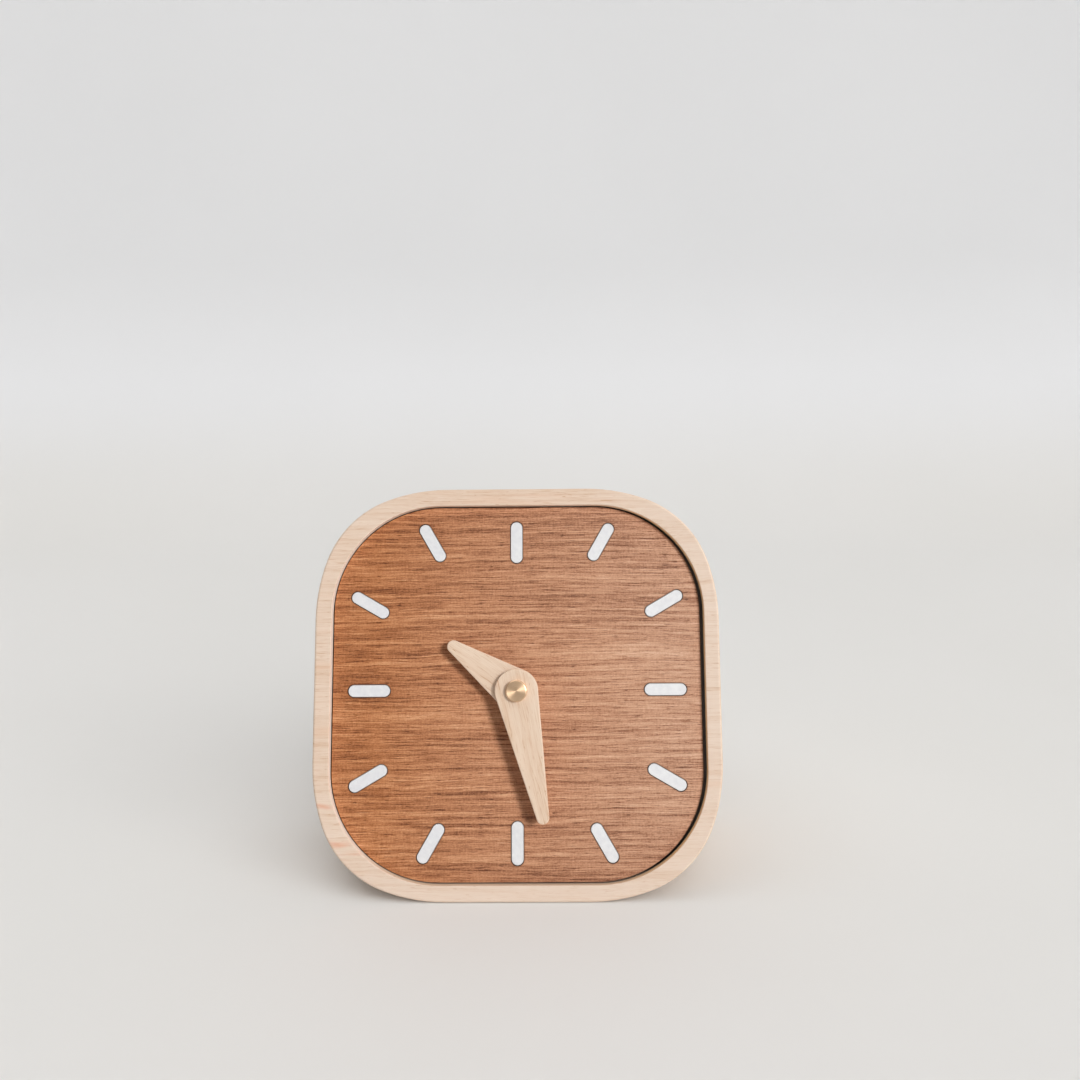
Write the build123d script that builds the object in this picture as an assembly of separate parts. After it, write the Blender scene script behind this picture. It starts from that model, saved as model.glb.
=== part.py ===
from build123d import *
import math
import os

os.makedirs("parts", exist_ok=True)

# Wooden desk clock. Millimetres.
# Working frame of every piece: u to the right as seen from the front, v up along
# the face, w out of the face towards the viewer, w = 0 on the front of the rim.
# The whole clock is then leaned back about u and stood on its flat base.

# ---------------------------------------------------------------- driving dimensions
LEAN = 21.0            # the face leans back from vertical, degrees
CASE = 150.0           # width and height of the case, in its own plane
CASE_DEPTH = 55.0      # thickness of the case, square to the face
CORNER_RUN = 48.9      # length of a corner along each side
CORNER_RB = 37.7       # radius of the middle arc of a corner
CORNER_TURN = 20.0     # turn of each lead-in arc of a corner, degrees
EDGE_FRONT = 0.9       # rounding of the outer front edge
EDGE_BACK = 1.5        # rounding of the outer back edge
BASE_W = -1.0          # the base plane meets the bottom side this far back
OPENING = 138.4        # opening of the rim round the dial
OPENING_HIGH = 137.85
OPENING_R = 40.3
OPENING_DU, OPENING_DV = 0.3, -0.175   # the opening sits a little off the axis
OPENING_EASE = 0.35
BASE_EASE = 0.5        # rounding of the edges of the flat base
DIAL_SINK = 3.4        # the dial lies this far behind the front of the rim
DIAL = 136.7
DIAL_HIGH = 137.0
DIAL_R = 39.7
DIAL_DU, DIAL_DV = -0.13, -0.15
DIAL_T = 3.0
WEB_T = 4.6            # wood left between the dial and the rear pocket
POCKET_WIDE = 116.0    # rear pocket, with rounded corners
POCKET_V0, POCKET_V1 = -46.0, 58.0
POCKET_R = 32.0
SHAFT_HOLE_R = 4.3

MARK_H = 55.0          # hour inlays are centred on a square of this half-side
SLOT_L, SLOT_W = 16.0, 4.73
MARK_L, MARK_W = 15.55, 4.43

HUB_R = 7.9            # round end of both hands
TIP_R = 2.31
MINUTE_REACH = 48.1    # from the axis to the far end of the tip
HOUR_REACH = 30.6
HAND_T = 2.0
HAND_EDGE = 0.45
HOUR_W0 = 0.6          # underside of the hour hand
MINUTE_W0 = 3.4        # underside of the minute hand
MINUTE_DEG = 168.2     # clockwise from twelve
HOUR_DEG = 304.8
CAP_R = 3.93
CAP_T = 1.9

MOVE = 56.0            # square movement
MOVE_FRONT = -11.8
MOVE_BACK = -27.8
WALL = 1.4
FIT = 0.02             # radial allowance of pieces pressed together
RUN = 0.08             # radial clearance of turning pieces

# wheel teeth: number, module
CANNON_Z, MOTION_Z, M_MOTION = 12, 36, 0.4
MPIN_Z, HOUR_Z, M_HOUR = 10, 40, 0.384
SETPIN_Z = 12
SPIN_Z, THIRD_Z, M_THIRD = 8, 60, 0.25
TPIN_Z, CENTRE_Z = 8, 64
FPIN_Z, SECONDS_Z, M_SECONDS = 10, 40, 0.3
RPIN_Z, FIFTH_Z, M_FIFTH = 8, 60, 0.2

a_motion = M_MOTION * (CANNON_Z + MOTION_Z) / 2
a_third = M_THIRD * (SPIN_Z + THIRD_Z) / 2
M_CENTRE = 2 * a_third / (TPIN_Z + CENTRE_Z)
a_seconds = M_SECONDS * (FPIN_Z + SECONDS_Z) / 2
a_rotor = M_FIFTH * (RPIN_Z + FIFTH_Z) / 2


def polar(p, a, deg):
    return (p[0] + a * math.cos(math.radians(deg)), p[1] + a * math.sin(math.radians(deg)))


C0 = (0.0, 0.0)                          # hands
MO = polar(C0, a_motion, 90)             # motion wheel
KN = polar(MO, a_motion, 30)             # hand setting
TH = polar(C0, a_third, 150)             # third wheel
FI = polar(C0, a_seconds, 60)            # fifth wheel
RO = polar(FI, a_rotor, -10)             # rotor

sa, ca = math.sin(math.radians(LEAN)), math.cos(math.radians(LEAN))
H = CASE / 2
# height and depth of the hand axis at w = 0, so that the base plane is z = 0 and
# the case is centred front to back on the origin
TZ = H * ca - BASE_W * sa
y_front = -(H - EDGE_FRONT) * sa + EDGE_FRONT * ca - EDGE_FRONT
y_back = (H - EDGE_BACK) * sa + (CASE_DEPTH - EDGE_BACK) * ca + EDGE_BACK
TY = -(y_front + y_back) / 2
LEANED = Location((0, TY, TZ), (90 - LEAN, 0, 0))

made = []


def save(shape, name):
    placed = LEANED * shape
    export_step(placed, "parts/%s.step" % name)
    made.append(name)


def rod(r, w0, w1, p=C0):
    lo, hi = min(w0, w1), max(w0, w1)
    return Pos(p[0], p[1], lo) * Cylinder(r, hi - lo, align=(Align.CENTER, Align.CENTER, Align.MIN))


def block(u0, u1, v0, v1, w0, w1):
    return Pos((u0 + u1) / 2, (v0 + v1) / 2, (w0 + w1) / 2) * Box(abs(u1 - u0), abs(v1 - v0), abs(w1 - w0))


def plate(sketch, w0, w1):
    lo, hi = min(w0, w1), max(w0, w1)
    return Pos(0, 0, lo) * extrude(sketch, hi - lo, dir=(0, 0, 1))


# ---------------------------------------------------------------- wheels
def tooth_polygon(z, m, ha, theta, tk=0.38, hd=1.15, steps=4):
    rp = m * z / 2
    ra, rf = rp + ha * m, rp - hd * m
    rb = rp * math.cos(math.radians(20))

    def inv(a):
        return math.tan(a) - a

    def half(r):
        a = math.acos(min(1.0, rb / max(r, rb)))
        return tk * math.pi / z + inv(math.radians(20)) - inv(a)

    low = max(rb, rf + 0.02 * m)
    radii = [rf] + [low + (ra - low) * k / steps for k in range(steps + 1)]
    pts = []
    for i in range(z):
        c = theta + 2 * math.pi * i / z
        pts += [(r * math.cos(c - half(r)), r * math.sin(c - half(r))) for r in radii]
        pts += [(r * math.cos(c + half(r)), r * math.sin(c + half(r))) for r in radii[::-1]]
    return pts


def toothed(z, m, kind, theta, w0, w1, p=C0):
    ha = 0.75 if kind == "pinion" else 0.6
    face = make_face(Polyline(*tooth_polygon(z, m, ha, theta), close=True))
    return Pos(p[0], p[1], 0) * plate(face, w0, w1)


def mesh_phase(t_a, z_a, p_a, p_b, z_b):
    # angle of a tooth of wheel b that is in mesh with wheel a at rest
    phi = math.atan2(p_b[1] - p_a[1], p_b[0] - p_a[0])
    f = (t_a - phi) / (2 * math.pi / z_a)
    return phi + math.pi + math.pi / z_b - f * 2 * math.pi / z_b


def light_windows(r_in, r_out, w0, w1, p, count=5):
    # round lightening holes of a moulded wheel
    r = (r_out - r_in) / 2
    rc = (r_out + r_in) / 2
    tool = None
    for i in range(count):
        q = polar(p, rc, 360 / count * i + 18)
        c = rod(r, w0 - 0.5, w1 + 0.5, q)
        tool = c if tool is None else tool + c
    return tool


# ---------------------------------------------------------------- case
def corner_points():
    b = math.radians(CORNER_TURN)
    sb, cb = math.sin(b), math.cos(b)
    ra = (CORNER_RUN - CORNER_RB * (cb - sb)) / (sb + 1 - cb)
    c1 = (H - CORNER_RUN, H - ra)
    p0 = (H - CORNER_RUN, H)
    h = b / 2
    m1 = (c1[0] + ra * math.sin(h), c1[1] + ra * math.cos(h))
    p1 = (c1[0] + ra * sb, c1[1] + ra * cb)
    c2 = (p1[0] - CORNER_RB * sb, p1[1] - CORNER_RB * cb)
    d = math.sqrt(0.5)
    m2 = (c2[0] + CORNER_RB * d, c2[1] + CORNER_RB * d)
    p2 = (p1[1], p1[0])
    m3 = (m1[1], m1[0])
    p3 = (H, H - CORNER_RUN)
    return [p0, m1, p1, m2, p2, m3, p3]


def turned(p, k):
    for _ in range(k):
        p = (p[1], -p[0])
    return p


edges = []
for k in range(4):
    q = [turned(p, k) for p in corner_points()]
    edges += [ThreePointArc(q[0], q[1], q[2]), ThreePointArc(q[2], q[3], q[4]), ThreePointArc(q[4], q[5], q[6])]
    nxt = turned(corner_points()[0], k + 1)
    edges.append(Line(q[6], nxt))
outline = Face(Wire([e.edge() for e in edges]))

case_body = Pos(0, 0, -CASE_DEPTH) * extrude(outline, CASE_DEPTH, dir=(0, 0, 1))
case_body = fillet(case_body.edges().filter_by_position(Axis.Z, -0.01, 0.01), EDGE_FRONT)
case_body = fillet(case_body.edges().filter_by_position(Axis.Z, -CASE_DEPTH - 0.01, -CASE_DEPTH + 0.01), EDGE_BACK)
floor_w = -(DIAL_SINK + DIAL_T)
web_w = floor_w - WEB_T
case_body -= plate(Pos(OPENING_DU, OPENING_DV, 0) * RectangleRounded(OPENING, OPENING_HIGH, OPENING_R), floor_w, 1)
pocket = Pos(0, (POCKET_V0 + POCKET_V1) / 2) * RectangleRounded(POCKET_WIDE, POCKET_V1 - POCKET_V0, POCKET_R)
case_body -= plate(pocket, -CASE_DEPTH - 1, web_w)
case_body -= rod(SHAFT_HOLE_R, web_w - 1, floor_w + 1)
rim = case_body.faces().filter_by(Plane.XY).sort_by(Axis.Z)[-1]
case_body = fillet(rim.inner_wires()[0].edges(), OPENING_EASE)
rear = case_body.faces().filter_by(Plane.XY).sort_by(Axis.Z)[0]
case_body = fillet(rear.inner_wires()[0].edges(), 1.0)
# flat base, level when the face leans back
case_world = LEANED * case_body - Pos(0, 0, -50) * Box(400, 400, 100)
case_world = fillet(case_world.edges().filter_by_position(Axis.Z, -0.01, 0.01), BASE_EASE)
export_step(case_world, "parts/case_body.step")
made.append("case_body")

# ---------------------------------------------------------------- dial and hour inlays
dial_w = -DIAL_SINK
dial = plate(Pos(DIAL_DU, DIAL_DV, 0) * RectangleRounded(DIAL, DIAL_HIGH, DIAL_R), floor_w, dial_w)
dial -= rod(SHAFT_HOLE_R, floor_w - 1, dial_w + 1)
for hour in range(1, 13):
    t = math.radians(30 * hour)
    d = (math.sin(t), math.cos(t))
    s = MARK_H / max(abs(d[0]), abs(d[1]))
    spot = Pos(d[0] * s, d[1] * s, 0) * Rot(0, 0, 90 - 30 * hour)
    dial -= plate(spot * SlotOverall(SLOT_L, SLOT_W), floor_w - 1, dial_w + 1)
    mark = plate(spot * SlotOverall(MARK_L, MARK_W), floor_w, dial_w)
    top = mark.edges().filter_by_position(Axis.Z, dial_w - 0.01, dial_w + 0.01)
    mark = fillet(top, 0.2)
    save(mark, "hour_marker_%02d" % hour)
save(dial, "dial_panel")


# ---------------------------------------------------------------- hands
def hand(reach, w0, bore, deg):
    length = reach - TIP_R
    f = math.asin((HUB_R - TIP_R) / length)
    n = (math.cos(f), math.sin(f))
    a = (HUB_R * n[0], HUB_R * n[1])
    b = (TIP_R * n[0], length + TIP_R * n[1])
    side = [Line(a, b), ThreePointArc(b, (0, reach), (-b[0], b[1])), Line((-b[0], b[1]), (-a[0], a[1])),
            ThreePointArc((-a[0], a[1]), (0, -HUB_R), a)]
    body = plate(Face(Wire([e.edge() for e in side])), w0, w0 + HAND_T)
    body = fillet(body.edges().filter_by_position(Axis.Z, w0 + HAND_T - 0.01, w0 + HAND_T + 0.01), HAND_EDGE)
    body = fillet(body.edges().filter_by_position(Axis.Z, w0 - 0.01, w0 + 0.01), 0.25)
    body -= rod(bore, w0 - 1, w0 + HAND_T + 1)
    return Rot(0, 0, -deg) * body


HOUR_PIPE_R, HOUR_PIPE_IN = 2.5, 1.7
MINUTE_PIPE_R = HOUR_PIPE_IN - 0.1
ARBOR_R = 0.5

save(hand(HOUR_REACH, HOUR_W0, 3.5 + FIT, HOUR_DEG), "hour_hand")
bush = rod(3.5, HOUR_W0, HOUR_W0 + HAND_T) + rod(4.6, HOUR_W0 - 0.6, HOUR_W0)
save(bush - rod(HOUR_PIPE_R + FIT, -1, 4), "hour_hand_bush")

save(hand(MINUTE_REACH, MINUTE_W0, 3.0 + FIT, MINUTE_DEG), "minute_hand")
bush = rod(3.0, MINUTE_W0, MINUTE_W0 + HAND_T) + rod(4.2, MINUTE_W0 - 0.5, MINUTE_W0)
save(bush - rod(MINUTE_PIPE_R + FIT, 2, 6), "minute_hand_bush")

cap_w0 = MINUTE_W0 + HAND_T
cap = rod(CAP_R, cap_w0, cap_w0 + CAP_T)
cap = fillet(cap.edges().filter_by_position(Axis.Z, cap_w0 + CAP_T - 0.01, cap_w0 + CAP_T + 0.01), 0.5)
cap -= rod(MINUTE_PIPE_R + FIT, cap_w0 - 1, cap_w0 + 1.1)
save(cap, "hand_cap_nut")

# ---------------------------------------------------------------- fixing of the movement
BUSH_R = 4.0
inner_w = MOVE_FRONT - WALL
thread = rod(BUSH_R, inner_w - 0.6, -0.4) + rod(5.6, inner_w - 0.6, inner_w)
thread = chamfer(thread.edges().filter_by_position(Axis.Z, -0.41, -0.39), 0.4)
thread -= rod(HOUR_PIPE_R + RUN, inner_w - 2, 1)
save(thread, "centre_bushing")
save(rod(6.4, dial_w, dial_w + 0.4) - rod(BUSH_R + 0.1, dial_w - 1, dial_w + 1), "fixing_washer")
nut = plate(RegularPolygon(11 / 2 / math.cos(math.pi / 6), 6), dial_w + 0.4, dial_w + 2.4)
nut -= rod(BUSH_R + FIT, dial_w - 1, dial_w + 3)
save(nut, "fixing_nut")
save(rod(9.0, MOVE_FRONT, web_w) - rod(BUSH_R + 0.1, MOVE_FRONT - 1, web_w + 1), "rubber_washer")

# ---------------------------------------------------------------- movement shells
inner_b = MOVE_BACK + WALL          # inside of the rear cover
half = MOVE / 2
CELL_R, CELL_V, CELL_W = 7.25, -18.7, -20.6
BAY_TOP, GEAR_BOTTOM = -11.0, -9.8

base = plate(RectangleRounded(MOVE, MOVE, 2.0), inner_b, MOVE_FRONT)
base -= block(-half + WALL, half - WALL, GEAR_BOTTOM, half - WALL, inner_b - 1, inner_w)
base -= block(-half + WALL, half - WALL, -half + WALL, BAY_TOP, inner_b - 1, inner_w)
# ways for the contact strips through the partition
base -= block(23.6, half - WALL, BAY_TOP - 1, GEAR_BOTTOM + 1, inner_w - 2.0, inner_w)
base -= block(-half + WALL, -23.6, BAY_TOP - 1, GEAR_BOTTOM + 1, inner_w - 2.0, inner_w)
BRIDGE_W0, BRIDGE_W1 = -20.0, -19.3
PILLARS = [(-16.0, 17.5), (13.0, 18.5), (-16.0, -6.6), (13.0, -6.6)]
for p in PILLARS:
    base += rod(1.5, BRIDGE_W1, inner_w, p) + rod(0.7, BRIDGE_W0 - 0.4, BRIDGE_W1, p)
CORE_V0, CORE_V1, CORE_U = -7.0, 19.0, 21.0
CORE_W0, CORE_W1 = -21.0, -19.8
for p in [(CORE_U, 17.0), (CORE_U, -5.0)]:
    base += rod(1.5, CORE_W1, inner_w, p)
# pivot boss of the setting shaft
base += rod(1.6, inner_w - 1.8, inner_w, KN)
base -= rod(0.6 + RUN, inner_w - 2, inner_w - 0.2, KN)
# seat of the motion wheel post, hole of the centre bushing
base -= rod(0.8 + FIT, -12.4, inner_w - 1, MO)
base -= rod(BUSH_R + FIT, inner_w - 1, MOVE_FRONT + 1)
# low ledges under the circuit board
for v in (-4.0, 20.0):
    base += block(-25.6, -17.6, v - 0.6, v + 0.6, inner_w, inner_w - 0.6)
save(base, "movement_base")

cover = plate(RectangleRounded(MOVE, MOVE, 2.0), MOVE_BACK, inner_b)
cover -= block(-half + WALL, half - WALL, -half + WALL, BAY_TOP, MOVE_BACK - 1, inner_b + 1)
for p, r in [(C0, ARBOR_R), (TH, ARBOR_R), (FI, ARBOR_R), (RO, 0.4)]:
    cover += rod(1.5, inner_b, inner_b + 1.0, p)
    cover -= rod(r + RUN, MOVE_BACK + 0.6, inner_b + 2, p)
cover -= rod(1.5 + 0.1, MOVE_BACK - 1, inner_b + 1, KN)
lip = block(-half + WALL + 0.1, half - WALL - 0.1, GEAR_BOTTOM + 0.1, half - WALL - 0.1, inner_b, inner_b + 1.2)
lip -= block(-half + WALL + 1.0, half - WALL - 1.0, GEAR_BOTTOM + 1.0, half - WALL - 1.0, inner_b - 1, inner_b + 2)
cover += lip
save(cover, "movement_cover")

bridge = plate(Pos(-1.4, 5.8, 0) * RectangleRounded(33.2, 28.4, 2.5), BRIDGE_W0, BRIDGE_W1)
bridge -= rod(1.6, BRIDGE_W0 - 1, BRIDGE_W1 + 1)
for p in PILLARS:
    bridge -= rod(0.75, BRIDGE_W0 - 1, BRIDGE_W1 + 1, p)
for p, r in [(TH, ARBOR_R + RUN), (FI, ARBOR_R + RUN), (RO, 0.4 + RUN), (KN, 1.7)]:
    bridge -= rod(r, BRIDGE_W0 - 1, BRIDGE_W1 + 1, p)
save(bridge, "train_bridge")
save(rod(0.8, -17.4, -12.4, MO), "motion_post")

# ---------------------------------------------------------------- motion work and hand setting
t_cannon = 0.0
t_motion = mesh_phase(t_cannon, CANNON_Z, C0, MO, MOTION_Z)
t_setpin = mesh_phase(t_motion, MOTION_Z, MO, KN, SETPIN_Z)
t_mpin = 0.0
t_hour = mesh_phase(t_mpin, MPIN_Z, MO, C0, HOUR_Z)

pipe = toothed(CANNON_Z, M_MOTION, "pinion", t_cannon, -17.4, -15.6)
pipe += rod(MINUTE_PIPE_R, -15.6, cap_w0 + 1.0)
pipe += rod(1.2, -19.4, -17.4)
pipe -= rod(ARBOR_R + RUN, -20, cap_w0 + 2)
save(pipe, "minute_pipe")
save(rod(3.0, -18.1, -17.4) - rod(1.2 + FIT, -19, -17), "clutch_washer")

motion = toothed(MOTION_Z, M_MOTION, "wheel", t_motion, -16.9, -15.9, MO)
motion -= light_windows(2.6, 6.0, -16.9, -15.9, MO)
motion += toothed(MPIN_Z, M_HOUR, "pinion", t_mpin, -15.9, -13.9, MO)
motion -= rod(0.8 + RUN, -18, -13, MO)
save(motion, "motion_wheel")

hour = toothed(HOUR_Z, M_HOUR, "wheel", t_hour, -15.2, -14.1)
hour += rod(HOUR_PIPE_R, -15.2, HOUR_W0 + HAND_T - 0.2)
hour -= rod(HOUR_PIPE_IN, -16, 4)
save(hour, "hour_wheel")

shaft = toothed(SETPIN_Z, M_MOTION, "pinion", t_setpin, -17.2, -15.6, KN)
shaft += rod(0.6, -15.6, inner_w - 0.4, KN) + rod(1.5, -30.2, -17.2, KN)
save(shaft, "setting_shaft")
ribs = [((6.2 if i % 2 else 5.8) * math.cos(math.pi * i / 30), (6.2 if i % 2 else 5.8) * math.sin(math.pi * i / 30))
        for i in range(60)]
knob = Pos(KN[0], KN[1], 0) * plate(make_face(Polyline(*ribs, close=True)), -31.2, -28.2)
knob -= rod(1.5 + FIT, -30.2, -27, KN)
save(knob, "setting_knob")

# ---------------------------------------------------------------- going train
t_spin = 0.0
t_third = mesh_phase(t_spin, SPIN_Z, C0, TH, THIRD_Z)
t_tpin = 0.0
t_centre = mesh_phase(t_tpin, TPIN_Z, TH, C0, CENTRE_Z)
t_seconds = 0.0
t_fpin = mesh_phase(t_seconds, SECONDS_Z, C0, FI, FPIN_Z)
t_fifth = 0.0
t_rpin = mesh_phase(t_fifth, FIFTH_Z, FI, RO, RPIN_Z)

centre = toothed(CENTRE_Z, M_CENTRE, "wheel", t_centre, -19.0, -18.2)
centre -= light_windows(3.4, 6.6, -19.0, -18.2, C0)
centre -= rod(1.2 + RUN, -20, -17)
save(centre, "centre_wheel")

third = toothed(THIRD_Z, M_THIRD, "wheel", t_third, -21.0, -20.4, TH)
third -= light_windows(2.4, 6.4, -21.0, -20.4, TH)
third += toothed(TPIN_Z, M_CENTRE, "pinion", t_tpin, -19.2, -18.0, TH)
third += rod(ARBOR_R, -26.9, -17.8, TH)
save(third, "third_wheel")

seconds = toothed(SECONDS_Z, M_SECONDS, "wheel", t_seconds, -22.6, -22.0)
seconds -= light_windows(1.8, 5.0, -22.6, -22.0, C0)
seconds += toothed(SPIN_Z, M_THIRD, "pinion", t_spin, -22.0, -20.1)
seconds -= rod(ARBOR_R + FIT, -24, -19)
save(seconds, "seconds_wheel")
save(rod(ARBOR_R, -26.9, cap_w0 + 0.4), "seconds_arbor")

fifth = toothed(FIFTH_Z, M_FIFTH, "wheel", t_fifth, -24.2, -23.6, FI)
fifth -= light_windows(2.0, 5.2, -24.2, -23.6, FI)
fifth += toothed(FPIN_Z, M_SECONDS, "pinion", t_fpin, -23.6, -21.7, FI)
fifth += rod(ARBOR_R, -26.9, -19.4, FI)
save(fifth, "fifth_wheel")

rpin = toothed(RPIN_Z, M_FIFTH, "pinion", t_rpin, -24.5, -23.3, RO) + rod(0.4, -26.9, -19.5, RO)
save(rpin, "rotor_pinion")
save(rod(3.0, -22.8, -20.4, RO) - rod(0.4 + FIT, -24, -19, RO), "rotor_magnet")


# ---------------------------------------------------------------- motor
def strip(p, q, width):
    length = math.hypot(q[0] - p[0], q[1] - p[1])
    ang = math.degrees(math.atan2(q[1] - p[1], q[0] - p[0]))
    return Pos((p[0] + q[0]) / 2, (p[1] + q[1]) / 2) * Rot(0, 0, ang) * SlotCenterToCenter(length, width)


yoke = Pos(RO[0], RO[1]) * Circle(4.7)
for p, q in [(RO, (13.5, 17.0)), ((13.5, 17.0), (22.0, 17.0)), (RO, (13.5, -5.0)), ((13.5, -5.0), (22.0, -5.0))]:
    yoke += strip(p, q, 3.6)
yoke -= Pos(RO[0], RO[1]) * Circle(3.45)
save(plate(yoke, -22.2, CORE_W0), "stator")
save(block(CORE_U - 2, CORE_U + 2, CORE_V0, CORE_V1, CORE_W0, CORE_W1), "coil_core")
mid_w = (CORE_W0 + CORE_W1) / 2
tube = block(CORE_U - 2.7, CORE_U + 2.7, -3, 15, mid_w - 1.3, mid_w + 1.3)
bobbin = tube
for v in (-3, 14):
    bobbin += block(CORE_U - 4.1, CORE_U + 4.1, v, v + 1, mid_w - 3.9, mid_w + 3.9)
bobbin -= block(CORE_U - 2.05, CORE_U + 2.05, -8, 20, CORE_W0 - 0.05, CORE_W1 + 0.05)
save(bobbin, "coil_bobbin")
coil = block(CORE_U - 3.8, CORE_U + 3.8, -2, 14, mid_w - 3.6, mid_w + 3.6)
coil = fillet(coil.edges().filter_by(Axis.Y), 2.0)
save(coil - tube, "coil_winding")

# ---------------------------------------------------------------- electronics
pcb_w0, pcb_w1 = inner_w - 1.6, inner_w - 0.6
save(block(-26.0, -17.9, -8.0, 24.0, pcb_w0, pcb_w1), "circuit_board")
can = Pos(-23.6, 16.0, pcb_w0 - 1.5) * Rot(90, 0, 0) * Cylinder(1.5, 8.0)
save(fillet(can.edges(), 0.3), "quartz_crystal")
chip = rod(3.0, pcb_w0 - 1.2, pcb_w0, (-21.5, 4.0))
save(fillet(chip.edges().filter_by_position(Axis.Z, pcb_w0 - 1.21, pcb_w0 - 1.19), 0.9), "timing_chip")

plus = block(26.2, 26.5, -22.0, -11.4, -25.0, inner_w - 0.1)
plus += block(26.2, 26.5, -11.4, -8.4, inner_w - 1.8, inner_w - 0.1)
plus += block(-19.0, 26.5, -9.4, -8.4, inner_w - 0.3, inner_w - 0.1)
plus += block(-19.0, -18.2, -9.4, -7.0, pcb_w1, inner_w - 0.1)
plus += Pos(25.875, CELL_V, CELL_W) * Rot(0, 90, 0) * Cylinder(2.0, 0.65)
save(plus, "contact_plus")
minus = block(-26.5, -26.2, -22.0, -11.4, -25.0, inner_w - 0.1)
minus += block(-26.5, -26.2, -11.4, -7.0, inner_w - 1.8, inner_w - 0.1)
minus += block(-26.5, -25.0, -8.0, -7.0, pcb_w1, inner_w - 0.1)
minus += Pos(-25.625, CELL_V, CELL_W) * Rot(0, 90, 0) * Cone(3.4, 2.0, 1.15)
save(minus, "contact_minus")

cell = Pos(-0.4, CELL_V, CELL_W) * Rot(0, 90, 0) * Cylinder(CELL_R, 49.2)
cell = fillet(cell.edges(), 0.6)
cell += Pos(24.85, CELL_V, CELL_W) * Rot(0, 90, 0) * Cylinder(2.75, 1.3)
save(cell, "battery")

print(len(made), "pieces;  hand axis at y %.4f z %.4f;  motion %s  knob %s  third %s  fifth %s  rotor %s"
      % (TY, TZ, MO, KN, TH, FI, RO))
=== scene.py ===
import math

import bmesh
import bpy
from mathutils import Matrix, Vector

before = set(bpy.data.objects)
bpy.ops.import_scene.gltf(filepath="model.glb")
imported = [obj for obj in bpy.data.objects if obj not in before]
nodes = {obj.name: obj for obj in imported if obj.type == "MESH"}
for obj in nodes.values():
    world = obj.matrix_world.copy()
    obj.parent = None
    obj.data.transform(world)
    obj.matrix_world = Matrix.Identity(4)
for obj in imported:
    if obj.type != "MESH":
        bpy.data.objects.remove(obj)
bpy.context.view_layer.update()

# ------------------------------------------------------------------ the clock's own frame
# u to the right on the face, v up along the face, w out of the face, w = 0 on the rim's front.
LEAN = math.radians(21.0)
SA, CA = math.sin(LEAN), math.cos(LEAN)
AXIS = Vector((0.0, -0.02558588, 0.0703769))     # where the hand axis meets w = 0, metres
U_DIR = Vector((1.0, 0.0, 0.0))
V_DIR = Vector((0.0, SA, CA))
W_DIR = Vector((0.0, -CA, SA))
TO_WORLD = Matrix(((1, 0, 0, AXIS.x), (0, SA, -CA, AXIS.y), (0, CA, SA, AXIS.z), (0, 0, 0, 1)))


def srgb(r, g, b):
    def lin(c):
        c = c / 255.0
        return c / 12.92 if c <= 0.04045 else ((c + 0.055) / 1.055) ** 2.4
    return (lin(r), lin(g), lin(b), 1.0)


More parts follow.
